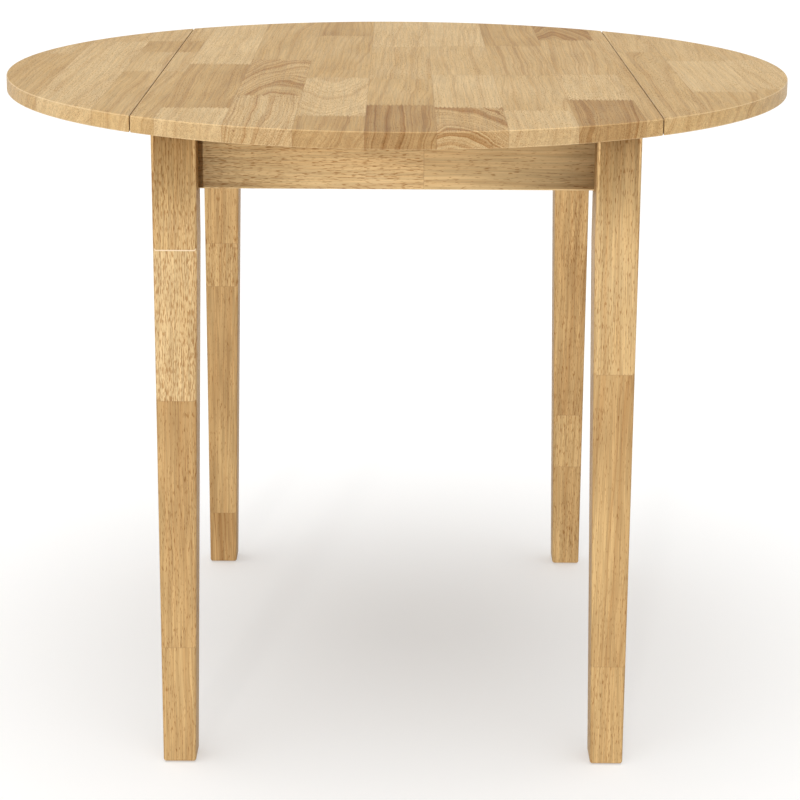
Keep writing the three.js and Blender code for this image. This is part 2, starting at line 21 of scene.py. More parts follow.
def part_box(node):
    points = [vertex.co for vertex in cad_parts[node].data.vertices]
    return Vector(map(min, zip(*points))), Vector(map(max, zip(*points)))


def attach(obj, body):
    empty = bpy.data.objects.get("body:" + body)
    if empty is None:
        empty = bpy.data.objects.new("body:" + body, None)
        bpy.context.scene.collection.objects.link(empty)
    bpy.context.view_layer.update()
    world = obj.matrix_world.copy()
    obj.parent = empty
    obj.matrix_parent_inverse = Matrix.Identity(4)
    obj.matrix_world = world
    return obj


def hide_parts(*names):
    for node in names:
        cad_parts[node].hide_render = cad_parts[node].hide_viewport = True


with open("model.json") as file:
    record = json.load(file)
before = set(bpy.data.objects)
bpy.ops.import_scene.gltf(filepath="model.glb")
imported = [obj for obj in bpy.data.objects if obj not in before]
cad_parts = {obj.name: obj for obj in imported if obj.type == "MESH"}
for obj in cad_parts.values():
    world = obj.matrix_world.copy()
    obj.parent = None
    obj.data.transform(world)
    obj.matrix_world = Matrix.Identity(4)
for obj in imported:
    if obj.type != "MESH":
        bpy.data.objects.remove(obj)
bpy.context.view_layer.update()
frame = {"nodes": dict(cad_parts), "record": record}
nodes = frame["nodes"]

# %% Sizes that the frame gives
ENDS = {"rear": 1, "front": -1}
SIDES = {"right": 1, "left": -1}
CORNERS = [(end, side) for end in ENDS for side in SIDES]

centre_low, centre_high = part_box("centre_top")
leaf_low, leaf_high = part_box("right_leaf")
top_radius = leaf_high.x
underside = centre_low.z
table_height = centre_high.z
print("radius", round(top_radius, 4), "underside at", round(underside, 4))

# %% [markdown]
# ## Camera
#
# The table is seen from the front, from about the eye level of a seated person, with a long lens, so that
# the round top is a flat ellipse and the rear legs stand only slightly inside the front ones. A lens
# of about 100 mm at 2.6 m keeps the legs nearly parallel. The lens shift is small.

# %% Camera
LENS = 99.4  # mm
SENSOR = 36.0
SHIFT = (0.0031, -0.13)
EYE = (0.002, -2.610, 1.102)
PITCH_DOWN = 13.87  # degrees
ROLL = 0.34
camera_data = bpy.data.cameras.new("front_camera")
camera_data.lens = LENS
camera_data.sensor_width = SENSOR
camera_data.shift_x, camera_data.shift_y = SHIFT
camera = bpy.data.objects.new("front_camera", camera_data)
bpy.context.scene.collection.objects.link(camera)
camera.location = EYE
turn_up = Matrix.Rotation(math.radians(90 - PITCH_DOWN), 4, "X")
camera.rotation_euler = (turn_up @ Matrix.Rotation(math.radians(ROLL), 4, "Z")).to_euler()
bpy.context.scene.camera = camera
print("camera at", tuple(round(v, 3) for v in camera.location))

# %% [markdown]
# ## Studio
#
# A product studio is a white sweep with light from all round. The floor is a light table: pale, and
# glowing a little, so that the shadow under the table stays faint. Around it the world is a white wall that
# fades into a dim ceiling. The main softbox stands slightly left of the camera and hardly above it, so that
# the rim throws only a thin shadow on the apron, and a big soft panel overhead lights the top. Plain
# display colours are used, so that a surface shows the colour its material has.

# %% Floor and world
bpy.context.scene.view_settings.view_transform = "Standard"

FLOOR_SIZE = 60.0
floor_mesh = bpy.data.meshes.new("studio_floor")
floor_shape = bmesh.new()
bmesh.ops.create_grid(floor_shape, x_segments=1, y_segments=1, size=FLOOR_SIZE / 2)
floor_shape.to_mesh(floor_mesh)
floor_shape.free()
floor = bpy.data.objects.new("studio_floor", floor_mesh)
bpy.context.scene.collection.objects.link(floor)

floor_paint = bpy.data.materials.new("studio_floor")
floor_paint.use_nodes = True
paint = floor_paint.node_tree.nodes["Principled BSDF"]
for setting, value in (
    ("Base Color", (0.56, 0.56, 0.555, 1)),
    ("Emission Color", (1, 1, 1, 1)),
    ("Emission Strength", 0.42),
    ("Roughness", 0.9),
    ("Specular IOR Level", 0.1),
):
    paint.inputs[setting].default_value = value
floor_mesh.materials.append(floor_paint)

WALL_TOP = 0.04  # the white wall starts to fade at this sine of the angle above the horizon
CEILING = 0.26  # and the ceiling starts at this one
WALL_STRENGTH = 1.0
CEILING_STRENGTH = 0.24
world = bpy.data.worlds.new("studio")
world.use_nodes = True
sky = world.node_tree
background = sky.nodes["Background"]
background.inputs["Color"].default_value = (1, 1, 1, 1)
direction = sky.nodes.new("ShaderNodeTexCoord")
rise = sky.nodes.new("ShaderNodeSeparateXYZ")
fade = sky.nodes.new("ShaderNodeMapRange")
fade.interpolation_type = "SMOOTHSTEP"
for socket, value in zip(fade.inputs[1:5], (WALL_TOP, CEILING, WALL_STRENGTH, CEILING_STRENGTH)):
    socket.default_value = value
sky.links.new(direction.outputs["Generated"], rise.inputs[0])
sky.links.new(rise.outputs["Z"], fade.inputs[0])
sky.links.new(fade.outputs[0], background.inputs["Strength"])
bpy.context.scene.world = world


# %% Lamps
def soft_lamp(name, direction, strength, spread):
    """Even light that travels along `direction`, from a source that looks `spread` degrees wide."""
    data = bpy.data.lights.new(name, "SUN")
    data.energy = strength
    data.angle = math.radians(spread)
    lamp = bpy.data.objects.new(name, data)
    lamp.rotation_euler = Vector(direction).to_track_quat("-Z", "Y").to_euler()
    bpy.context.scene.collection.objects.link(lamp)


soft_lamp("main_softbox", (0.19, 1.0, -0.075), 1.66, 3)
soft_lamp("overhead_panel", (0.05, 0.08, -1.0), 2.90, 70)
print("two lamps")

# %% [markdown]
# ## Node tools
#
# The wood is worked out by nodes from the place of each point in the board, as solid wood is: the same
# rings run over the face and down the edge. That takes many Math nodes, so a small tool writes them: it
# takes numbers or sockets and gives back a socket.


# %% Node tools
class Wiring:
    """Writes nodes into one node tree. Every call gives back the socket that holds the result."""

    def __init__(self, tree):
        self.tree = tree

    def feed(self, socket, value):
        if isinstance(value, bpy.types.NodeSocket):
            self.tree.links.new(value, socket)
        else:
            socket.default_value = value

    def node(self, kind, **settings):
        made = self.tree.nodes.new(kind)
        for setting, value in settings.items():
            setattr(made, setting, value)
        return made

    def math(self, operation, *values, clamp=False):
        made = self.node("ShaderNodeMath", operation=operation, use_clamp=clamp)
        for socket, value in zip(made.inputs, values):
            self.feed(socket, value)
        return made.outputs[0]

    def vector(self, operation, *values):
        made = self.node("ShaderNodeVectorMath", operation=operation)
        for socket, value in zip(made.inputs, values):
            self.feed(socket, value)
        return made.outputs["Value" if operation in ("LENGTH", "DOT_PRODUCT") else "Vector"]

    def between(self, share, low, high):
        """A number that goes from `low` to `high` as `share` goes from 0 to 1."""
        made = self.node("ShaderNodeMix", data_type="FLOAT")
        for socket, value in zip(made.inputs[:1] + made.inputs[2:4], (share, low, high)):
            self.feed(socket, value)
        return made.outputs[0]

    def blend(self, share, low, high, how="MIX"):
        """A colour that goes from `low` to `high` as `share` goes from 0 to 1."""
        made = self.node("ShaderNodeMix", data_type="RGBA", blend_type=how)
        for place, value in ((0, share), (6, low), (7, high)):
            self.feed(made.inputs[place], value)
        return made.outputs[2]

    def ramp(self, value, start, end, low=0.0, high=1.0):
        """A smooth step from `low` at `start` to `high` at `end`."""
        made = self.node("ShaderNodeMapRange", interpolation_type="SMOOTHSTEP")
        for socket, number in zip(made.inputs, (value, start, end, low, high)):
            self.feed(socket, number)
        return made.outputs[0]

    def split(self, vector):
        made = self.node("ShaderNodeSeparateXYZ")
        self.feed(made.inputs[0], vector)
        return made.outputs

    def join(self, *values):
        made = self.node("ShaderNodeCombineXYZ")
        for socket, value in zip(made.inputs, values):
            self.feed(socket, value)
        return made.outputs[0]

    def noise(self, place, scale=1.0, detail=2.0, roughness=0.5, dimensions="3D"):
        """Soft noise from 0 to 1, at a point or, in one dimension, at a number."""
        made = self.node("ShaderNodeTexNoise", noise_dimensions=dimensions)
        self.feed(made.inputs["W" if dimensions == "1D" else "Vector"], place)
        made.inputs["Scale"].default_value = scale
        made.inputs["Detail"].default_value = detail
        made.inputs["Roughness"].default_value = roughness
        return made.outputs["Fac"]

    def chance(self, seed):
        """Three random numbers from 0 to 1 that stay the same for the same seed."""
        made = self.node("ShaderNodeTexWhiteNoise", noise_dimensions="1D")
        self.feed(made.inputs["W"], seed)
        return self.split(made.outputs["Color"])

    def group(self, name, **values):
        made = self.node("ShaderNodeGroup", node_tree=bpy.data.node_groups[name])
        for socket, value in values.items():
            self.feed(made.inputs[socket], value)
        return made.outputs


def new_group(name, inputs, outputs):
    """A shader node group with those sockets, each (name, kind). Gives its wiring, inputs and outputs."""
    tree = bpy.data.node_groups.new(name, "ShaderNodeTree")
    kinds = {"value": "NodeSocketFloat", "vector": "NodeSocketVector", "color": "NodeSocketColor"}
    for way, sockets in (("INPUT", inputs), ("OUTPUT", outputs)):
        for label, kind in sockets:
            tree.interface.new_socket(label, in_out=way, socket_type=kinds[kind])
    w = Wiring(tree)
    return w, w.node("NodeGroupInput").outputs, w.node("NodeGroupOutput").inputs


# %% [markdown]
# ## The grain of one board
#
# A tree grows in rings round its pith, and a board is a straight cut through them. Where the pith lies far
# to one side, the face shows straight stripes (a quarter-sawn board). Where it lies under the face and
# slopes, the rings come out as arches, one inside another (a flat-sawn board). So the group places a pith
# line for each board, by chance from the board's seed and by its flatness, and measures each point's
# distance from it. Noise along that distance gives rings of uneven width and darkness, and the same rings
# turn into arcs on the end grain by themselves.
#
# Rubberwood has large open pores: cut lengthwise they are short dark dashes. They and the fine fibre are
# noise that is stretched along the board.

# %% Group: grain of a board
RING_SPACING = 0.0030
BOARD_REACH = 0.35  # a flat board's arches start this far along it when it is turned end for end
QUARTER_PITH = (0.10, 0.12)  # how far to the side the pith of a quarter-sawn board lies: least, spread
FLAT_PITH = 0.05  # spread of the same under a flat-sawn board
PITH_DEPTH = (-0.018, -0.045)  # least, spread
QUARTER_SLOPE = 0.02
FLAT_SLOPE = (0.12, 0.08)  # least, spread
DRIFT = 0.07  # sideways run of the pith along the board
BEND = ((5.0, 22.0, 22.0), 0.020)  # noise scale along, across and into the board; how far it moves a ring
RIPPLE = ((24.0, 90.0, 90.0), 0.0024)
#   rings per spacing, where a ring starts, where it is full, its weight
RING_KINDS = ((0.45, 0.42, 0.72, 0.5), (1.6, 0.48, 0.74, 0.45), (4.5, 0.48, 0.72, 0.30))
w, given, gives = new_group(
    "board grain",
    [("Place", "vector"), ("Seed", "value"), ("Flatness", "value")],
    [("Rings", "value"), ("Fibre", "value"), ("Pores", "value"), ("Clouds", "value")],
)
seed = given["Seed"]
chance_a = w.chance(seed)
chance_b = w.chance(w.math("ADD", seed, 57.31))
moved = w.join(w.math("MULTIPLY", seed, 1.37), w.math("MULTIPLY", seed, 0.61), 0)
shifted = w.vector("ADD", given["Place"], moved)
along, across, depth = w.split(given["Place"])


def noise_at(scales, **settings):
    """Noise stretched along the board."""
    return w.noise(w.vector("MULTIPLY", shifted, scales), **settings)


def spread(chance, size):
    """A random number from -size / 2 to size / 2."""
    return w.math("MULTIPLY", w.math("SUBTRACT", chance, 0.5), size)


turned = w.math("GREATER_THAN", given["Flatness"], 1.5)
flatness = w.math("MULTIPLY_ADD", turned, -2.0, given["Flatness"])
side_quarter = w.math("MULTIPLY_ADD", chance_a[0], QUARTER_PITH[1], QUARTER_PITH[0])
pith_side = w.between(flatness, side_quarter, spread(chance_a[0], FLAT_PITH))
pith_depth = w.math("MULTIPLY_ADD", chance_a[1], PITH_DEPTH[1], PITH_DEPTH[0])
flat_slope = w.math("MULTIPLY_ADD", chance_b[1], FLAT_SLOPE[1], FLAT_SLOPE[0])
slope = w.between(flatness, QUARTER_SLOPE, flat_slope)
run = w.between(turned, along, w.math("SUBTRACT", BOARD_REACH, along))
bend = spread(noise_at(BEND[0], detail=1.0), BEND[1])
ripple = spread(noise_at(RIPPLE[0]), RIPPLE[1])
pith_side = w.math("MULTIPLY_ADD", spread(chance_a[2], DRIFT), along, pith_side)
from_side = w.math("SUBTRACT", across, pith_side)
from_depth = w.math("MULTIPLY_ADD", slope, run, w.math("SUBTRACT", depth, pith_depth))
ring_radius = w.vector("LENGTH", w.join(from_side, from_depth, 0))
ring_radius = w.math("ADD", ring_radius, w.math("ADD", bend, ripple))
ring_place = w.math("DIVIDE", ring_radius, RING_SPACING)
ring_place = w.math("MULTIPLY_ADD", seed, 13.7, ring_place)
rings = 0.0
for scale, start, full, weight in RING_KINDS:
    ring = w.noise(ring_place, scale=scale, detail=1.0, dimensions="1D")
    rings = w.math("MULTIPLY_ADD", w.ramp(ring, start, full), weight, rings)
streaks = noise_at((7.0, 260.0, 260.0), detail=1.0)
threads = noise_at((20.0, 720.0, 720.0), detail=1.0, roughness=0.6)
pore_crowd = noise_at((12.0, 60.0, 60.0), detail=1.0)
pore_level = w.math("MULTIPLY_ADD", chance_b[2], -0.06, w.between(pore_crowd, 0.74, 0.56))
w.feed(gives["Rings"], rings)
w.feed(gives["Fibre"], w.math("MULTIPLY_ADD", streaks, 0.45, w.math("MULTIPLY", threads, 0.55)))
w.feed(gives["Pores"], w.math("SUBTRACT", noise_at((125.0, 980.0, 980.0), detail=1.0), pore_level))
w.feed(gives["Clouds"], noise_at((7.0, 30.0, 30.0)))
print("board grain:", len(w.tree.nodes), "nodes")

# %% [markdown]
# ## Which board a point is in
#
# Along a stave the boards follow one another, up to four of them with three finger joints between. The
# group takes a place along the stave, the places of the joints, and what each board is like (its tone, the
# strength of its figure and its flatness, kept as the three parts of a colour). It gives the same three for
# the board that the point is in, with the board's number, the distance to the nearest joint and the place
# where the board starts.
#
# The fingers come from adding a triangle wave to the place along the stave before it is compared.

# %% Group: pick the board
MOST_JOINTS = 3
w, given, gives = new_group(
    "pick board",
    [("Along", "value"), ("Joints", "vector")] + [(f"Board {k}", "color") for k in range(MOST_JOINTS + 1)],
    [("Board", "vector"), ("Number", "value"), ("To joint", "value"), ("Start", "value")],
)
joint_places = w.split(given["Joints"])
board = given["Board 0"]
number = 0.0
nearest = 1.0
start = -0.5
for k in range(MOST_JOINTS):
    past = w.math("GREATER_THAN", given["Along"], joint_places[k])
    board = w.blend(past, board, given[f"Board {k + 1}"])
    number = w.math("ADD", number, past)
    gap = w.math("ABSOLUTE", w.math("SUBTRACT", given["Along"], joint_places[k]))
    nearest = w.math("MINIMUM", nearest, gap)
    start = w.between(past, start, joint_places[k])
for label, value in (("Board", board), ("Number", number), ("To joint", nearest), ("Start", start)):
    w.feed(gives[label], value)
print("pick board:", len(w.tree.nodes), "nodes")

# %% [markdown]
# ## The colour of lacquered rubberwood
#
# Under clear satin lacquer rubberwood runs from pale straw to a warm tan, and the darkest boards are a
# reddish brown. The rings darken it, strongly on some boards and hardly at all on others, and the pores
# show most on the pale boards. End grain drinks more lacquer and is darker. Eased edges are painted
# paler, as a painted highlight. The lacquer itself is smooth, and only the pores and fibres break it up.

# %% Group: colour of the wood
STRAW = (0.65, 0.472, 0.250, 1)
HONEY = (0.55, 0.368, 0.168, 1)
BROWN = (0.385, 0.226, 0.090, 1)
# painted highlight: the pale colour that eased edges are blended towards
PAINTED_EDGE_HIGHLIGHT = (0.78, 0.62, 0.40, 1)
RING_TINT = (0.64, 0.50, 0.38, 1)  # the tints multiply the wood's colour
PORE_TINT = (0.58, 0.44, 0.32, 1)
END_TINT = (0.82, 0.80, 0.79, 1)
w, given, gives = new_group(
    "lacquered rubberwood",
    [
        ("Place", "vector"),
        ("Glue color", "color"),
        *((label, "value") for label in ("Tone", "Figure", "Flatness", "Seed", "Texture", "Wide pores")),
        *((label, "value") for label in ("End grain", "Glue line", "Painted edge highlight")),
    ],
    [("Color", "color"), ("Roughness", "value"), ("Height", "value")],
)
grain = w.group("board grain", Place=given["Place"], Seed=given["Seed"], Flatness=given["Flatness"])
cloud = w.math("MULTIPLY", w.math("SUBTRACT", grain["Clouds"], 0.5), 0.7)
tone = w.math("ADD", given["Tone"], cloud)
tones = w.node("ShaderNodeValToRGB")
tones.color_ramp.elements[0].color = STRAW
tones.color_ramp.elements[1].color = BROWN
tones.color_ramp.elements.new(0.5).color = HONEY
w.feed(tones.inputs[0], tone)
wood = tones.outputs[0]
paleness = w.math("SUBTRACT", 0.72, given["Tone"])
pores = w.ramp(w.math("MULTIPLY_ADD", paleness, given["Wide pores"], grain["Pores"]), -0.01, 0.07)
ring_share = w.math("MULTIPLY", grain["Rings"], given["Figure"], clamp=True)
wood = w.blend(ring_share, wood, RING_TINT, "MULTIPLY")
fibre = w.ramp(grain["Fibre"], 0.34, 0.66, -0.20, 0.16)
wood = w.vector("SCALE", wood)
w.feed(wood.node.inputs["Scale"], w.math("MULTIPLY_ADD", fibre, given["Texture"], 1.0))
wood = w.blend(w.math("MULTIPLY", pores, given["Texture"]), wood, PORE_TINT, "MULTIPLY")
wood = w.blend(given["End grain"], wood, END_TINT, "MULTIPLY")
wood = w.blend(given["Glue line"], wood, given["Glue color"])
# painted highlight: eased edges are blended halfway to a pale colour
wood = w.blend(w.math("MULTIPLY", given["Painted edge highlight"], 0.5), wood, PAINTED_EDGE_HIGHLIGHT)
w.feed(gives["Color"], wood)
smooth = w.ramp(grain["Fibre"], 0.2, 0.8, 0.36, 0.46)
w.feed(gives["Roughness"], w.math("MULTIPLY_ADD", pores, 0.15, smooth))
height = w.math("MULTIPLY_ADD", grain["Rings"], -0.25, w.math("MULTIPLY", grain["Fibre"], 0.35))
w.feed(gives["Height"], w.math("MULTIPLY_ADD", pores, -0.8, height))
print("lacquered rubberwood:", len(w.tree.nodes), "nodes")

# %% [markdown]
# ## Boards by name
#
# The layouts below name each board by its look and give the joints between, in metres along the stave,
# from the front, the left or the floor. A flatness of 3 is a flat-sawn board turned end for end, so that
# its arches point the other way.

# %% Kinds of board and how a layout is read
#        tone, figure, flatness
KINDS = {
    "straw": (0.06, 0.60, 3.00),
    "pale": (0.16, 0.45, 0.15),
    "palestripe": (0.20, 0.95, 0.10),
    "mid": (0.36, 0.55, 0.35),
    "tan": (0.50, 0.60, 0.30),
    "striped": (0.44, 0.80, 0.05),
    "arched": (0.40, 1.50, 1.00),
    "dark": (0.66, 0.65, 0.25),
    "deep": (0.74, 0.65, 0.25),
    "brown": (0.86, 1.10, 0.20),
    "brownarch": (0.76, 1.50, 1.00),
}
NO_JOINT = 9.0


def read_layout(layout):
    """The joints (as many as MOST_JOINTS) and the boards (one more) of a layout such as "pale 0.1 tan"."""
    words = layout.split()
    joints = [float(word) for word in words[1::2]]
    boards = [KINDS[word] for word in words[0::2]]
    joints += [NO_JOINT] * (MOST_JOINTS - len(joints))
    boards += [boards[-1]] * (MOST_JOINTS + 1 - len(boards))
    return joints, boards


# %% [markdown]
# ## Wood with one stave: legs and aprons
#
# The material turns the object's coordinates so that the first runs along the grain, the second across the
# face and the third into it, all from the middle of the piece. The fingers are cut so that they show on the
# faces to either side of the front one, which itself shows a straight line.


# %% Wood material for a single stave
FINGER_PITCH = 0.0046
FINGER_LENGTH = 0.010
GLUE_WIDTH = 0.0004
DARK_GLUE = (0.27, 0.15, 0.07, 1)
PALE_GLUE = (0.78, 0.64, 0.46, 1)
GLUE_SHOWS = 0.22
PALE_GLUE_SHOWS = 0.8
END_FACE = (0.75, 0.95)  # how far a face has to look along the grain to be end grain
WOOD_SHEEN = 0.06  # satin lacquer reflects little
WOOD_RELIEF = 0.00006
FRAME_TEXTURE = 0.80
LEG_PORES = 0.17  # widens the pores of pale boards
FINE_PORES = 0.05


def fingers(w, across):
    """The triangle wave of a finger joint, from 0 to FINGER_LENGTH."""
    wave = w.math("PINGPONG", w.math("ADD", across, 10 * FINGER_PITCH), FINGER_PITCH / 2)
    return w.math("MULTIPLY", wave, 2 * FINGER_LENGTH / FINGER_PITCH)


def start_material(name):
    material = bpy.data.materials.new(name)
    material.use_nodes = True
    w = Wiring(material.node_tree)
    coordinates = w.node("ShaderNodeTexCoord").outputs
    return material, w, material.node_tree.nodes["Principled BSDF"], coordinates


def add_relief(w, shader, height, distance):
    """Bumps of the surface, `distance` metres high where `height` is 1."""
    relief = w.node("ShaderNodeBump")
    relief.inputs["Distance"].default_value = distance
    w.feed(relief.inputs["Height"], height)
    w.feed(shader.inputs["Normal"], relief.outputs[0])


def finish_wood(w, shader, wood):
    w.feed(shader.inputs["Base Color"], wood["Color"])
    w.feed(shader.inputs["Roughness"], wood["Roughness"])
    shader.inputs["Specular IOR Level"].default_value = WOOD_SHEEN
    add_relief(w, shader, wood["Height"], WOOD_RELIEF)


def stave_wood(name, axes, centre, layout, seed, pale_joint=NO_JOINT, wide_pores=LEG_PORES):
    """Wood of one stave. `axes` are the directions along the grain, across the face and into it."""
    material, w, shader, coordinates = start_material(name)
    turn = Matrix(axes)
    placed = w.node("ShaderNodeMapping")
    w.feed(placed.inputs["Vector"], coordinates["Object"])
    placed.inputs["Rotation"].default_value = turn.to_euler()
    placed.inputs["Location"].default_value = -(turn @ Vector(centre))
    along, across, depth = w.split(placed.outputs[0])
    joints, boards = read_layout(layout)
    middle = turn[0].dot(Vector(centre))
    picked = w.group(
        "pick board",
        Along=w.math("ADD", along, fingers(w, depth)),
        Joints=[j - middle for j in joints],
        **{f"Board {k}": (*board, 1) for k, board in enumerate(boards)},
    )
    tone, figure, flatness = w.split(picked["Board"])
    facing = w.math("ABSOLUTE", w.vector("DOT_PRODUCT", coordinates["Normal"], axes[0]))
    from_pale = w.math("ABSOLUTE", w.math("SUBTRACT", along, pale_joint - middle))
    is_pale = w.math("LESS_THAN", from_pale, 2 * FINGER_LENGTH)
    glue = w.blend(is_pale, DARK_GLUE, PALE_GLUE)
    on_glue = w.ramp(picked["To joint"], GLUE_WIDTH, 2 * GLUE_WIDTH, 1.0, 0.0)
    wood = w.group(
        "lacquered rubberwood",
        Place=w.join(w.math("SUBTRACT", along, picked["Start"]), across, depth),
        Tone=tone,
        Figure=figure,
        Flatness=flatness,
        Seed=w.math("ADD", picked["Number"], float(seed)),
        **{
            "End grain": w.ramp(facing, *END_FACE),
            "Glue line": w.math("MULTIPLY", on_glue, w.between(is_pale, GLUE_SHOWS, PALE_GLUE_SHOWS)),
            "Glue color": glue,
            "Texture": FRAME_TEXTURE,
            "Wide pores": wide_pores,
        },
    )
    finish_wood(w, shader, wood)
    return material


ALONG_X = ((1, 0, 0), (0, 0, -1), (0, 1, 0))
ALONG_Y = ((0, 1, 0), (0, 0, 1), (1, 0, 0))
ALONG_Z = ((0, 0, 1), (1, 0, 0), (0, 1, 0))

# %% [markdown]
# ## Wood of the top
#
# The top is one glued panel of thirteen staves, sawn along two lines, so the pattern runs on across the
# hinge lines. A Color Ramp with constant steps, read by the stave's number, hands each stave its joints,
# and four more hand it its boards.

# %% Layout of the top
STAVE_WIDTH = 0.0718
FIRST_STAVE = -0.4627
TOP_LAYOUT = [
    "tan 0.110 mid",
    "pale 0.228 mid",
    "tan -0.040 mid 0.130 dark 0.235 mid",
    "pale -0.307 dark 0.025 pale",
    "palestripe -0.220 arched 0.067 tan",
    "dark -0.356 straw -0.083 tan 0.300 dark",
    "brown -0.282 tan -0.090 mid 0.193 pale",
    "arched -0.296 pale -0.055 mid 0.200 pale",
    "pale -0.314 mid -0.055 striped 0.207 dark",
    "brown -0.238 pale -0.045 striped 0.267 brownarch",
    "tan 0.155 mid",
    "tan -0.175 pale 0.075 mid",
    "tan -0.153 pale 0.088 mid",
]
# painted light: the top's boards are made paler to stand in for the stronger light that falls on the top
TOP_PAINTED_LIGHT = 0.08
TOP_TEXTURE = 0.58
#   two small dark knots: one in the rim and one on the face
PIN_KNOTS = [(-0.163, -0.427, table_height - 0.005), (-0.150, -0.280, table_height)]


# %% Material of the top
def stave_table(w, share, rows):
    """A ramp of constant steps that gives row number `share` * len(rows)."""
    made = w.node("ShaderNodeValToRGB")
    steps = made.color_ramp
    steps.interpolation = "CONSTANT"
    while len(steps.elements) < len(rows):
        steps.elements.new(0.5)
    for k, row in enumerate(rows):
        steps.elements[k].position = k / len(rows)
        steps.elements[k].color = (*row, 1)
    w.feed(made.inputs[0], share)
    return made.outputs[0]


def panel_wood(name):
    material, w, shader, coordinates = start_material(name)
    x, y, z = w.split(coordinates["Object"])
    stave = w.math("DIVIDE", w.math("SUBTRACT", x, FIRST_STAVE), STAVE_WIDTH)
    number = w.math("FLOOR", stave)
    within = w.math("SUBTRACT", w.math("FRACT", stave), 0.5)
    share = w.math("DIVIDE", w.math("ADD", number, 0.5), float(len(TOP_LAYOUT)))
    layouts = [read_layout(layout) for layout in TOP_LAYOUT]
    joint_rows = [[min(j, 1.0) / 2 + 0.5 for j in joints] for joints, _ in layouts]
    joints = w.vector("MULTIPLY_ADD", stave_table(w, share, joint_rows), (2, 2, 2), (-1, -1, -1))
    tables = {}
    for k in range(MOST_JOINTS + 1):
        tables[f"Board {k}"] = stave_table(w, share, [boards[k] for _, boards in layouts])
    picked = w.group("pick board", Along=w.math("ADD", y, fingers(w, x)), Joints=joints, **tables)
    tone, figure, flatness = w.split(picked["Board"])
    to_edge = w.math("MULTIPLY", w.math("SUBTRACT", 0.5, w.math("ABSOLUTE", within)), STAVE_WIDTH)
    to_glue = w.math("MINIMUM", picked["To joint"], to_edge)
    seed = w.math("MULTIPLY_ADD", number, float(MOST_JOINTS + 1), picked["Number"])
    along = w.math("SUBTRACT", y, picked["Start"])
    place = w.join(along, w.math("MULTIPLY", within, STAVE_WIDTH), w.math("SUBTRACT", z, table_height))
    sideways, lengthways, upright = w.split(w.vector("ABSOLUTE", coordinates["Normal"]))
    # where the painted highlight goes: the band of bevels between upright and flat faces, strongest where
    # the edge faces along X
    on_edge = w.math("MULTIPLY", w.ramp(upright, 0.2, 0.4), w.ramp(upright, 0.9, 0.98, 1.0, 0.0))
    dark = w.ramp(to_glue, GLUE_WIDTH, 2 * GLUE_WIDTH, GLUE_SHOWS, 0.0)
    for knot in PIN_KNOTS:
        to_knot = w.vector("LENGTH", w.vector("SUBTRACT", coordinates["Object"], knot))
        dark = w.math("MAXIMUM", dark, w.ramp(to_knot, 0.0007, 0.0016, 0.95, 0.0))
    wood = w.group(
        "lacquered rubberwood",
        Place=place,
        # the top's boards made paler, as painted light
        Tone=w.math("SUBTRACT", tone, TOP_PAINTED_LIGHT),
        Figure=figure,
        Flatness=flatness,
        Seed=seed,
        **{
            "End grain": w.ramp(lengthways, *END_FACE),
            "Glue line": dark,
            "Glue color": DARK_GLUE,
            "Texture": TOP_TEXTURE,
            "Wide pores": FINE_PORES,
            "Painted edge highlight": w.math("MULTIPLY", on_edge, w.ramp(sideways, 0.45, 0.65, 0.15, 0.9)),
        },
    )
    finish_wood(w, shader, wood)
    return material


top_wood = panel_wood("rubberwood_top")
print("top wood:", len(top_wood.node_tree.nodes), "nodes")

# %% [markdown]
# ## Metal and nylon
#
# The fittings are zinc plated or yellow passivated steel. Zinc plate is not a mirror: it has a soft cloudy
# sheen, slightly brighter and duller in patches, and pressed sheet has fine rolling lines.


# %% Metal and nylon materials
ROLLING_RELIEF = 0.00003
NYLON_RELIEF = 0.0001


def plated_steel(name, color, shade, roughness):
    material, w, shader, coordinates = start_material(name)
    patches = w.noise(coordinates["Object"], scale=180.0, detail=3.0)
    lines = w.noise(w.vector("MULTIPLY", coordinates["Object"], (3000.0, 120.0, 900.0)), detail=1.0)
    look = w.blend(w.ramp(patches, 0.3, 0.7), (*shade, 1), (*color, 1))
    w.feed(shader.inputs["Base Color"], look)
    dull = w.math("MULTIPLY", patches, lines)
    w.feed(shader.inputs["Roughness"], w.between(dull, roughness, roughness + 0.3))
    shader.inputs["Metallic"].default_value = 1.0
    add_relief(w, shader, lines, ROLLING_RELIEF)
    return material


def moulded_nylon(name, color):
    material, w, shader, coordinates = start_material(name)
    mottle = w.noise(coordinates["Object"], scale=700.0, detail=2.0)
    w.feed(shader.inputs["Base Color"], w.blend(mottle, (*(v * 0.8 for v in color), 1), (*color, 1)))
    w.feed(shader.inputs["Roughness"], w.between(mottle, 0.5, 0.65))
    add_relief(w, shader, mottle, NYLON_RELIEF)
    return material


hinge_steel = plated_steel("hinge_steel", (0.58, 0.53, 0.42), (0.53, 0.48, 0.37), 0.32)
zinc_steel = plated_steel("zinc_steel", (0.54, 0.55, 0.56), (0.49, 0.50, 0.51), 0.34)
nylon = moulded_nylon("nylon", (0.055, 0.046, 0.038))


# %% [markdown]
# ## Making a piece
#
# Most pieces are finished by a Bevel modifier that reads a weight from every edge, so a rim can have a wide
# easing and a joint a narrow one. Hardened normals keep the flat faces flat in the light. Turned parts are
# rounded in their sections.


# %% Piece helpers
def weigh(shape, rule):
    """Gives every edge the bevel weight that `rule` says for it."""
    layers = shape.edges.layers.float
    layer = layers.get("bevel_weight_edge") or layers.new("bevel_weight_edge")
    for edge in shape.edges:
        edge[layer] = rule(edge)


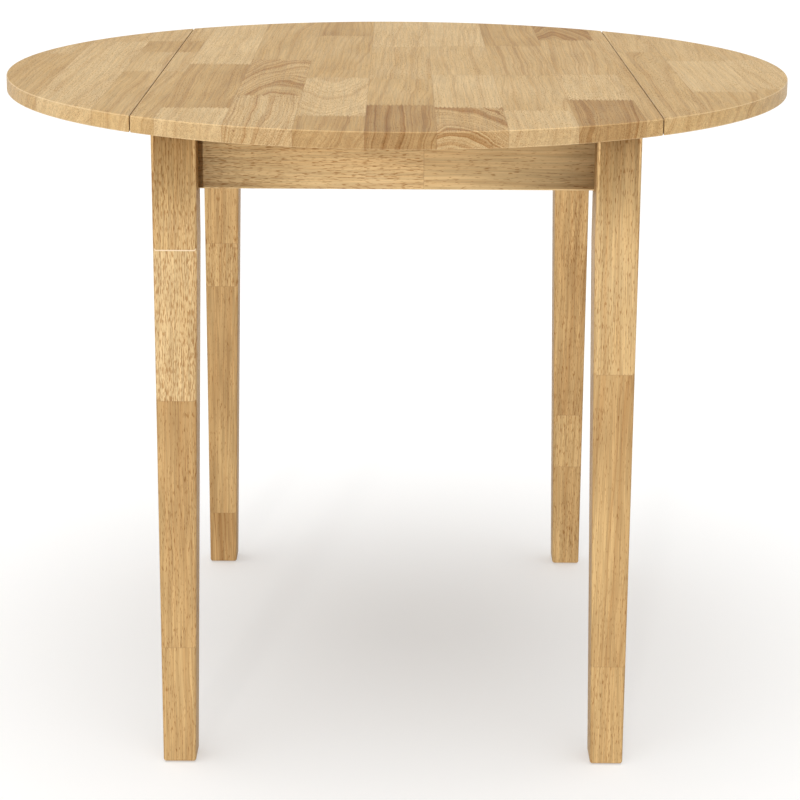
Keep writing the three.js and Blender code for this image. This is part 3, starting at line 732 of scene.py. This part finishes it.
def make_piece(name, shape, material, body, ease=None, segments=3, replaces=None):
    """Turns a bmesh into a finished piece that rides on a body."""
    bmesh.ops.recalc_face_normals(shape, faces=shape.faces)
    mesh = bpy.data.meshes.new(name)
    shape.to_mesh(mesh)
    shape.free()
    mesh.materials.append(material)
    mesh.polygons.foreach_set("use_smooth", [True] * len(mesh.polygons))
    piece = bpy.data.objects.new(name, mesh)
    bpy.context.scene.collection.objects.link(piece)
    if ease:
        easing = piece.modifiers.new("eased edges", "BEVEL")
        easing.limit_method = "WEIGHT"
        easing.width = ease
        easing.segments = segments
        easing.harden_normals = True
    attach(piece, body)
    if replaces:
        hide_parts(replaces)
    return piece


def is_crease(edge, least=30):
    """Whether the faces at an edge meet by more than `least` degrees."""
    return edge.calc_face_angle(0) > math.radians(least)


def join_flat_faces(shape, most=0.5):
    """Joins faces that meet by less than `most` degrees."""
    angle = math.radians(most)
    bmesh.ops.dissolve_limit(shape, angle_limit=angle, verts=shape.verts, edges=shape.edges)


def everything(shape):
    return shape.verts[:] + shape.edges[:] + shape.faces[:]


def new_points(made):
    """The points among what a bmesh operator gives back."""
    return [v for v in made["geom"] if isinstance(v, bmesh.types.BMVert)]


# %% [markdown]
# ## The top
#
# All three panels are cut from one disc. A circle is extruded to the thickness of the board and sliced
# with upright planes on the hinge lines, as the saw does it, and each slice is closed with a new face. The
# rim is eased a little. The sawn edges are eased less, so that the leaves meet the centre closely.

# %% Top panels
RIM_SIDES = 256
RIM_EASE = 0.0016
SAWN_EASE = 0.0012


def panel(name, node, x_from, x_to, body):
    shape = bmesh.new()
    bmesh.ops.create_circle(shape, cap_ends=True, segments=RIM_SIDES, radius=top_radius)
    bmesh.ops.translate(shape, verts=shape.verts, vec=(0, 0, underside))
    raised = new_points(bmesh.ops.extrude_face_region(shape, geom=shape.faces[:]))
    bmesh.ops.translate(shape, verts=raised, vec=(0, 0, table_height - underside))
    for x, outward in ((x_from, -1), (x_to, 1)):
        if abs(x) < top_radius:
            plane = {"plane_co": (x, 0, 0), "plane_no": (outward, 0, 0)}
            cut = bmesh.ops.bisect_plane(shape, geom=everything(shape), clear_outer=True, **plane)
            outline = [e for e in cut["geom_cut"] if isinstance(e, bmesh.types.BMEdge)]
            bmesh.ops.contextual_create(shape, geom=outline)
    sawn_faces = [x for x in (x_from, x_to) if abs(x) < top_radius]

    def weight(edge):
        if not is_crease(edge):
            return 0
        on_sawn = any(all(abs(v.co.x - x) < 1e-5 for v in edge.verts) for x in sawn_faces)
        return SAWN_EASE / RIM_EASE if on_sawn else 1

    weigh(shape, weight)
    return make_piece(name, shape, top_wood, body, RIM_EASE, 4, replaces=node)


for name, node, x_from, x_to, body in (
    ("centre_panel", "centre_top", centre_low.x, centre_high.x, "frame"),
    ("right_leaf_panel", "right_leaf", leaf_low.x, top_radius, "right_leaf"),
    ("left_leaf_panel", "left_leaf", -top_radius, -leaf_low.x, "left_leaf"),
):
    made = panel(name, node, x_from, x_to, body)
    print(made.name, len(made.data.vertices), "points")

# %% [markdown]
# ## The legs
#
# A leg is a square post. Below the apron its two inner faces run in to a smaller foot, and its outer faces
# stay upright. A cube is stretched to the post, cut through where the taper starts, and the foot's inner
# points are moved out.

# %% Legs
LEG_EASE = 0.003
TAPER_TOP = 0.595
PALE_JOINT = 0.590  # the glue of this joint in the front left leg is pale
FOOT_SIZE = 0.0365
NEAR = 0.001  # points this near an end of a leg belong to it
LEG_LAYOUTS = {
    "front_left": "dark 0.140 deep 0.424 pale 0.590 tan",
    "front_right": "dark 0.120 dark 0.456 mid",
    "rear_left": "brown 0.075 deep 0.405 tan 0.466 dark",
    "rear_right": "dark 0.151 tan 0.225 dark",
}


def box_shape(low, high):
    """A bmesh cube stretched to two corners."""
    shape = bmesh.new()
    bmesh.ops.create_cube(shape, size=1)
    bmesh.ops.scale(shape, verts=shape.verts, vec=high - low)
    bmesh.ops.translate(shape, verts=shape.verts, vec=(low + high) / 2)
    return shape


def leg(end, side):
    node = f"leg_{end}_{side}"
    low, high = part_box(node)
    centre = (low + high) / 2
    shape = box_shape(low, high)
    bmesh.ops.bisect_plane(shape, geom=everything(shape), plane_co=(0, 0, TAPER_TOP), plane_no=(0, 0, 1))
    narrowing = (high.x - low.x) - FOOT_SIZE
    feet = [v for v in shape.verts if v.co.z < low.z + NEAR]
    inner_x = [v for v in feet if v.co.x * SIDES[side] < centre.x * SIDES[side]]
    inner_y = [v for v in feet if v.co.y * ENDS[end] < centre.y * ENDS[end]]
    bmesh.ops.translate(shape, verts=inner_x, vec=(narrowing * SIDES[side], 0, 0))
    bmesh.ops.translate(shape, verts=inner_y, vec=(0, narrowing * ENDS[end], 0))
    hidden_top = high.z - NEAR
    weigh(shape, lambda e: 1 if is_crease(e) and min(v.co.z for v in e.verts) < hidden_top else 0)
    seed = 100 + 10 * list(LEG_LAYOUTS).index(f"{end}_{side}")
    pale_joint = PALE_JOINT if (end, side) == ("front", "left") else NO_JOINT
    layout = LEG_LAYOUTS[f"{end}_{side}"]
    wood = stave_wood(f"rubberwood_{node}", ALONG_Z, centre, layout, seed, pale_joint)
    name = f"{end}_{side}_leg"
    return make_piece(name, shape, wood, "frame", LEG_EASE, 4, replaces=node)


for end, side in CORNERS:
    print(leg(end, side).name)

# %% [markdown]
# ## The aprons
#
# Four rails join the legs under the top. Only their lower edges are eased.

# %% Aprons
APRON_EASE = 0.0015
APRONS = {
    "front_apron": (ALONG_X, "pale 0.030 pale"),
    "rear_apron": (ALONG_X, "tan -0.080 mid"),
    "right_apron": (ALONG_Y, "tan 0.050 mid"),
    "left_apron": (ALONG_Y, "mid -0.060 tan"),
}


def apron(node, axes, layout, seed):
    low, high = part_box(node)
    shape = box_shape(low, high)
    middle = (low.z + high.z) / 2
    end_axis = 0 if axes is ALONG_X else 1

    def weight(edge):
        a, b = (v.co for v in edge.verts)
        lower = max(a.z, b.z) < middle
        lengthwise = abs(a[end_axis] - b[end_axis]) > 0.1
        return 1 if lower and lengthwise else 0

    weigh(shape, weight)
    wood = stave_wood(f"rubberwood_{node}", axes, (low + high) / 2, layout, seed, wide_pores=FINE_PORES)
    name = f"{node}_rail"
    return make_piece(name, shape, wood, "frame", APRON_EASE, 3, replaces=node)


for k, (node, (axes, layout)) in enumerate(APRONS.items()):
    print(apron(node, axes, layout, 200 + 10 * k).name)


# %% [markdown]
# ## Pressed and sawn parts from the frame
#
# The hinge plates, stay brackets, tracks, struts and corner blocks already have their real holes, slots and
# knuckles in the frame, but their edges are razor sharp. So a copy of each is merged, its flat triangles
# are joined into whole faces, and a fine bevel breaks the edges, which then catch the light.

# %% Refined copies
SHEET_EASE = 0.00025
BLOCK_EASE = 0.0008
BODY_OF = {}
for body, members in frame["record"]["behaviour"]["bodies"].items():
    BODY_OF.update(dict.fromkeys(members, body))


def refined(node, name, material, ease):
    shape = bmesh.new()
    shape.from_mesh(nodes[node].data)
    bmesh.ops.remove_doubles(shape, verts=shape.verts, dist=1e-6)
    join_flat_faces(shape)
    weigh(shape, lambda edge: 1 if is_crease(edge, 40) else 0)
    return make_piece(name, shape, material, BODY_OF[node], ease, 2, replaces=node)


DIAGONAL = math.sqrt(0.5)
BLOCK_AXES = {
    1: ((DIAGONAL, -DIAGONAL, 0), (0, 0, -1), (DIAGONAL, DIAGONAL, 0)),
    -1: ((DIAGONAL, DIAGONAL, 0), (0, 0, -1), (-DIAGONAL, DIAGONAL, 0)),
}
for k, (end, side) in enumerate(CORNERS):
    corner = f"{end}_{side}"
    low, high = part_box(f"corner_block_{corner}")
    axes = BLOCK_AXES[ENDS[end] * SIDES[side]]
    block_wood = stave_wood(f"rubberwood_block_{corner}", axes, (low + high) / 2, "tan", 300 + 5 * k)
    refined(f"corner_block_{corner}", f"{corner}_corner_block", block_wood, BLOCK_EASE)
    for kind in ("hinge_fixed_plate", "hinge_moving_plate"):
        refined(f"{kind}_{corner}", f"{corner}_{kind}", hinge_steel, SHEET_EASE)
    for kind in ("stay_bracket", "stay_strut", "stay_track"):
        refined(f"{kind}_{corner}", f"{corner}_{kind}", zinc_steel, SHEET_EASE)
print("refined", 6 * len(CORNERS), "parts")

# %% [markdown]
# ## Turned parts
#
# Bolts, rivets, pins and glides are round, so each is half a section spun once round its axis. The bolt's
# thread is drawn as a saw edge along the section: at this size its rings read as a thread.

# %% Spin a section
ROUND_SIDES = 32


def spun(section, place, axis, sides=ROUND_SIDES):
    """A closed solid from (radius, distance) points that start and end on the axis."""
    shape = bmesh.new()
    points = [shape.verts.new((radius, 0, distance)) for radius, distance in section]
    geometry = points + [shape.edges.new(pair) for pair in zip(points, points[1:])]
    full_turn = {"cent": (0, 0, 0), "axis": (0, 0, 1), "angle": 2 * math.pi}
    bmesh.ops.spin(shape, geom=geometry, steps=sides, use_merge=True, **full_turn)
    bmesh.ops.remove_doubles(shape, verts=shape.verts, dist=1e-7)
    bmesh.ops.recalc_face_normals(shape, faces=shape.faces)
    turn = Vector(axis).to_track_quat("Z", "Y").to_matrix().to_4x4()
    bmesh.ops.transform(shape, matrix=Matrix.Translation(place) @ turn, verts=shape.verts)
    return shape


def shade_round(piece, sharpest=35):
    piece.data.set_sharp_from_angle(angle=math.radians(sharpest))
    return piece


def turned_piece(kind, corner, shape, material):
    """A round piece of the frame, in place of the frame's own."""
    name, node = f"{corner}_{kind}", f"{kind}_{corner}"
    return shade_round(make_piece(name, shape, material, "frame", replaces=node))


def lying(node):
    """Start, radius and length of a round part that lies along Y."""
    low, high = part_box(node)
    start = Vector(((low.x + high.x) / 2, low.y, (low.z + high.z) / 2))
    return start, (high.z - low.z) / 2, high.y - low.y


# %% Hanger bolts
THREAD_PITCH = 0.00125
THREAD_DEPTH = 0.0006
BOLT_THREADED = 0.05  # the machine thread at the free end


def threaded_section(radius, length, threaded):
    """A rod along +Z with a coned start, plain to begin with, then threaded up to its chamfered end."""
    section = [(0, 0), (radius / 2, 0), (radius, radius), (radius, length - threaded)]
    turns = int((threaded - radius) / THREAD_PITCH)
    for k in range(turns):
        start = length - threaded + k * THREAD_PITCH
        section += [(radius - THREAD_DEPTH, start + THREAD_PITCH / 2), (radius, start + THREAD_PITCH)]
    return section + [(radius - THREAD_DEPTH, length), (0, length)]


def inward(end, side):
    """The level direction from a leg towards the middle of the table."""
    return Vector((-SIDES[side] * DIAGONAL, -ENDS[end] * DIAGONAL, 0))


for end, side in CORNERS:
    corner = f"{end}_{side}"
    low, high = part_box(f"leg_bolt_{corner}")
    radius = (high.z - low.z) / 2
    length = (high.x - low.x) / DIAGONAL - 2 * radius
    axis = inward(end, side)
    start = (low + high) / 2 - axis * length / 2
    bolt = spun(threaded_section(radius, length, BOLT_THREADED), start, axis, 24)
    turned_piece("leg_bolt", corner, bolt, zinc_steel)
print("bolts", round(2 * radius * 1000, 1), "mm thick and", round(length * 1000), "mm long")

# %% [markdown]
# ## Flanged nuts
#
# The nut is a hexagon with a bore, on a thin round flange. The hexagon's outline gets as many points as
# the bore by cutting each side in four, the two loops are bridged, and the ring is extruded.

# %% Nuts
NUT_ACROSS_FLATS = 0.013
NUT_HEIGHT = 0.008
FLANGE_RADIUS = 0.009
FLANGE_HEIGHT = 0.0015
NUT_BORE = 0.0043
NUT_EASE = 0.0003
BORE_SIDES = 24


def ring_solid(outer, bore, sides, height):
    """A prism along +Z from Z = 0 with a round bore; `outer` sides are cut to match the bore's."""
    shape = bmesh.new()
    rim = bmesh.ops.create_circle(shape, segments=sides, radius=outer)["verts"]
    rim_edges = list({edge for vert in rim for edge in vert.link_edges})
    cuts = BORE_SIDES // sides - 1
    if cuts:
        bmesh.ops.subdivide_edges(shape, edges=rim_edges, cuts=cuts)
    rim_edges = shape.edges[:]
    hole = bmesh.ops.create_circle(shape, segments=BORE_SIDES, radius=bore)["verts"]
    hole_edges = list({edge for vert in hole for edge in vert.link_edges})
    bmesh.ops.bridge_loops(shape, edges=rim_edges + hole_edges)
    raised = new_points(bmesh.ops.extrude_face_region(shape, geom=shape.faces[:]))
    bmesh.ops.translate(shape, verts=raised, vec=(0, 0, height))
    bmesh.ops.recalc_face_normals(shape, faces=shape.faces)
    return shape


def add_shape(whole, part, matrix):
    """Copies one bmesh into another, moved by a matrix."""
    mesh = bpy.data.meshes.new("part")
    part.to_mesh(mesh)
    mesh.transform(matrix)
    whole.from_mesh(mesh)
    bpy.data.meshes.remove(mesh)


for end, side in CORNERS:
    corner = f"{end}_{side}"
    low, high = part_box(f"leg_nut_{corner}")
    bolt_low, bolt_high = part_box(f"leg_bolt_{corner}")
    axis = inward(end, side)
    seat_x = (high.x if SIDES[side] > 0 else low.x) - SIDES[side] * FLANGE_RADIUS * DIAGONAL
    middle = (bolt_low + bolt_high) / 2
    seat = middle + axis * ((seat_x - middle.x) / axis.x)
    turn = Matrix.Translation(seat) @ axis.to_track_quat("Z", "Y").to_matrix().to_4x4()
    nut = bmesh.new()
    add_shape(nut, ring_solid(FLANGE_RADIUS, NUT_BORE, BORE_SIDES, FLANGE_HEIGHT), turn)
    lift = Matrix.Translation((0, 0, FLANGE_HEIGHT))
    corner_radius = NUT_ACROSS_FLATS / math.sqrt(3)
    add_shape(nut, ring_solid(corner_radius, NUT_BORE, 6, NUT_HEIGHT - FLANGE_HEIGHT), turn @ lift)
    weigh(nut, lambda edge: 1 if is_crease(edge, 40) else 0)
    name, node = f"{corner}_leg_nut", f"leg_nut_{corner}"
    make_piece(name, nut, zinc_steel, "frame", NUT_EASE, 2, node)
print("nuts on", len(CORNERS), "bolts")

# %% [markdown]
# ## Screws
#
# Every screw here has a pan head with a cross recess. The recess is cut into the flat crown: eight planes
# slice it into a grid, and the cells that form the cross are pushed down.

# %% Screw shape
FIRST_TURN, NEXT_TURN = 0.7, 1.3  # no two recesses in a row point the same way
#   shares of the head's radius and of its height, from the crown to the seat
HEAD_SECTION = ((0.72, 1.0), (0.93, 0.7), (1.0, 0.3), (1.0, 0.0))
POINT_START = 0.75  # of the screw's length
RECESS_WIDTH = 0.22  # of the head's radius, to each side
RECESS_REACH = 0.62
RECESS_DEPTH = 0.6  # of the head's height


def screw_shape(head_radius, head_height, shank_radius, length):
    """A screw whose head's seat is at Z = 0, with its crown below and its shank going up."""
    head = [(head_radius * across, -head_height * down) for across, down in HEAD_SECTION]
    shank = [(shank_radius, 0), (shank_radius, length * POINT_START), (0, length)]
    shape = spun([(0, -head_height), *head, *shank], (0, 0, 0), (0, 0, 1), 20)
    join_flat_faces(shape)
    width, reach = RECESS_WIDTH * head_radius, RECESS_REACH * head_radius
    for axis in ((1, 0, 0), (0, 1, 0)):
        for place in (-reach, -width, width, reach):
            crown = [f for f in shape.faces if f.normal.z < -0.99]
            crown = [f for f in crown if f.calc_center_median().z < -head_height / 2]
            geometry = list({x for f in crown for x in [f, *f.edges, *f.verts]})
            bmesh.ops.bisect_plane(shape, geom=geometry, plane_co=Vector(axis) * place, plane_no=axis)
    recess = []
    for face in shape.faces:
        middle = face.calc_center_median()
        near, far = sorted((abs(middle.x), abs(middle.y)))
        if middle.z < -head_height * 0.9 and near < width and far < reach:
            recess.append(face)
    sunk = new_points(bmesh.ops.extrude_face_region(shape, geom=recess))
    bmesh.ops.translate(shape, verts=sunk, vec=(0, 0, RECESS_DEPTH * head_height))
    return shape


def screws(name, places, size, material, body, replaces=None):
    """One piece that holds a screw at each place, all pointing up."""
    template = screw_shape(*size)
    whole = bmesh.new()
    for k, place in enumerate(places):
        turn = Matrix.Rotation(FIRST_TURN + k * NEXT_TURN, 4, "Z")
        add_shape(whole, template, Matrix.Translation(place) @ turn)
    return shade_round(make_piece(name, whole, material, body, replaces=replaces))


# %% The screws of the table
TOP_SCREW_HEAD = 0.003
TOP_SCREW_SHANK = 0.0024
SHEET_SCREW = (0.0034, 0.0016, 0.0017, 0.012)  # head radius, head height, shank radius, length
HINGE_SHEET = 0.0016  # thicknesses: a hinge plate, a stay's flange, its web
STAY_FLANGE = 0.002
STAY_WEB = 0.0025
HINGE_HOLE_REACH = 0.01375  # from the pin to the outer holes; the middle hole stands further out
HINGE_HOLE_STAGGER = 0.003
HINGE_HOLE_PITCH = 0.017
BRACKET_HOLES = 0.010  # from the middle of the bracket to each hole
TRACK_HOLES = 2 / 3  # the same of the track, as a share of its half length

count = 0
for end, side in CORNERS:
    corner = f"{end}_{side}"
    low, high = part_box(f"top_screw_{corner}")
    seat = Vector(((low.x + high.x) / 2, (low.y + high.y) / 2, low.z + TOP_SCREW_HEAD))
    size = ((high.x - low.x) / 2, TOP_SCREW_HEAD, TOP_SCREW_SHANK, high.z - seat.z)
    screws(f"{corner}_top_screw", [seat], size, zinc_steel, "frame", f"top_screw_{corner}")

    low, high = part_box(f"hinge_pin_{corner}")
    pin = (low + high) / 2
    for kind, outward in (("fixed", -1), ("moving", 1)):
        places = []
        for step in (-1, 0, 1):
            reach = HINGE_HOLE_REACH + (HINGE_HOLE_STAGGER if step == 0 else 0)
            x = pin.x + SIDES[side] * outward * reach
            places.append((x, pin.y + step * HINGE_HOLE_PITCH, underside - HINGE_SHEET))
        body = BODY_OF[f"hinge_{kind}_plate_{corner}"]
        screws(f"{corner}_hinge_{kind}_screws", places, SHEET_SCREW, hinge_steel, body)
        count += len(places)

    for kind, offsets in (("bracket", (-1, 1)), ("track", (-1, 0, 1))):
        low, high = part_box(f"stay_{kind}_{corner}")
        middle = (low + high) / 2
        step = BRACKET_HOLES if kind == "bracket" else TRACK_HOLES * (high.x - low.x) / 2
        y = middle.y + ENDS[end] * STAY_WEB / 2
        places = [(middle.x + k * step, y, underside - STAY_FLANGE) for k in offsets]
        body = BODY_OF[f"stay_{kind}_{corner}"]
        screws(f"{corner}_stay_{kind}_screws", places, SHEET_SCREW, zinc_steel, body)
        count += len(places)
print(count, "small screws")

# %% Pins, rivets and glides
PIN_EDGE = 0.0004
RIVET_HEAD_HEIGHT = 0.0016
RIVET_SHANK = 0.003
DOME_ANGLES = (0, 0.5, 0.9, 1.25, math.pi / 2)  # where the points of a rounding stand on its quarter
GLIDE_ANGLES = (0, 0.6, 1.1, math.pi / 2)
GLIDE_STEM = 0.004
STEM_CHAMFER = 0.001


def mirrored(near, length):
    """The points of one end, and the same points from the far end of `length`."""
    return near + [(across, length - along) for across, along in reversed(near)]


def pin_section(radius, length):
    """A rod with chamfered ends."""
    return mirrored([(0, 0), (radius - PIN_EDGE, 0), (radius, PIN_EDGE)], length)


def rivet_section(radius, length):
    """Two domed heads on a shank."""
    near = [(radius * math.sin(a), RIVET_HEAD_HEIGHT * (1 - math.cos(a))) for a in DOME_ANGLES]
    return mirrored([*near, (RIVET_SHANK, RIVET_HEAD_HEIGHT)], length)


def glide_section(radius, rise, height):
    """A flat nylon foot with a rounded edge, and the stem that is driven into the leg."""
    round_off = rise / 2
    section = [(0, 0)]
    for a in GLIDE_ANGLES:
        section.append((radius - round_off * (1 - math.sin(a)), round_off * (1 - math.cos(a))))
    section += [(radius, rise), (GLIDE_STEM, rise), (GLIDE_STEM, height - STEM_CHAMFER)]
    return section + [(GLIDE_STEM - STEM_CHAMFER, height), (0, height)]


for end, side in CORNERS:
    corner = f"{end}_{side}"
    start, radius, length = lying(f"hinge_pin_{corner}")
    pin = spun(pin_section(radius, length), start, (0, 1, 0), 20)
    turned_piece("hinge_pin", corner, pin, hinge_steel)

    start, radius, length = lying(f"stay_rivet_{corner}")
    rivet = spun(rivet_section(radius, length), start, (0, 1, 0), 24)
    turned_piece("stay_rivet", corner, rivet, zinc_steel)

    low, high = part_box(f"glide_{corner}")
    leg_low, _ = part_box(f"leg_{corner}")
    start = Vector(((low.x + high.x) / 2, (low.y + high.y) / 2, low.z))
    section = glide_section((high.x - low.x) / 2, leg_low.z, high.z - low.z)
    foot = spun(section, start, (0, 0, 1))
    turned_piece("glide", corner, foot, nylon)
print("pins, rivets and glides at", len(CORNERS), "corners")
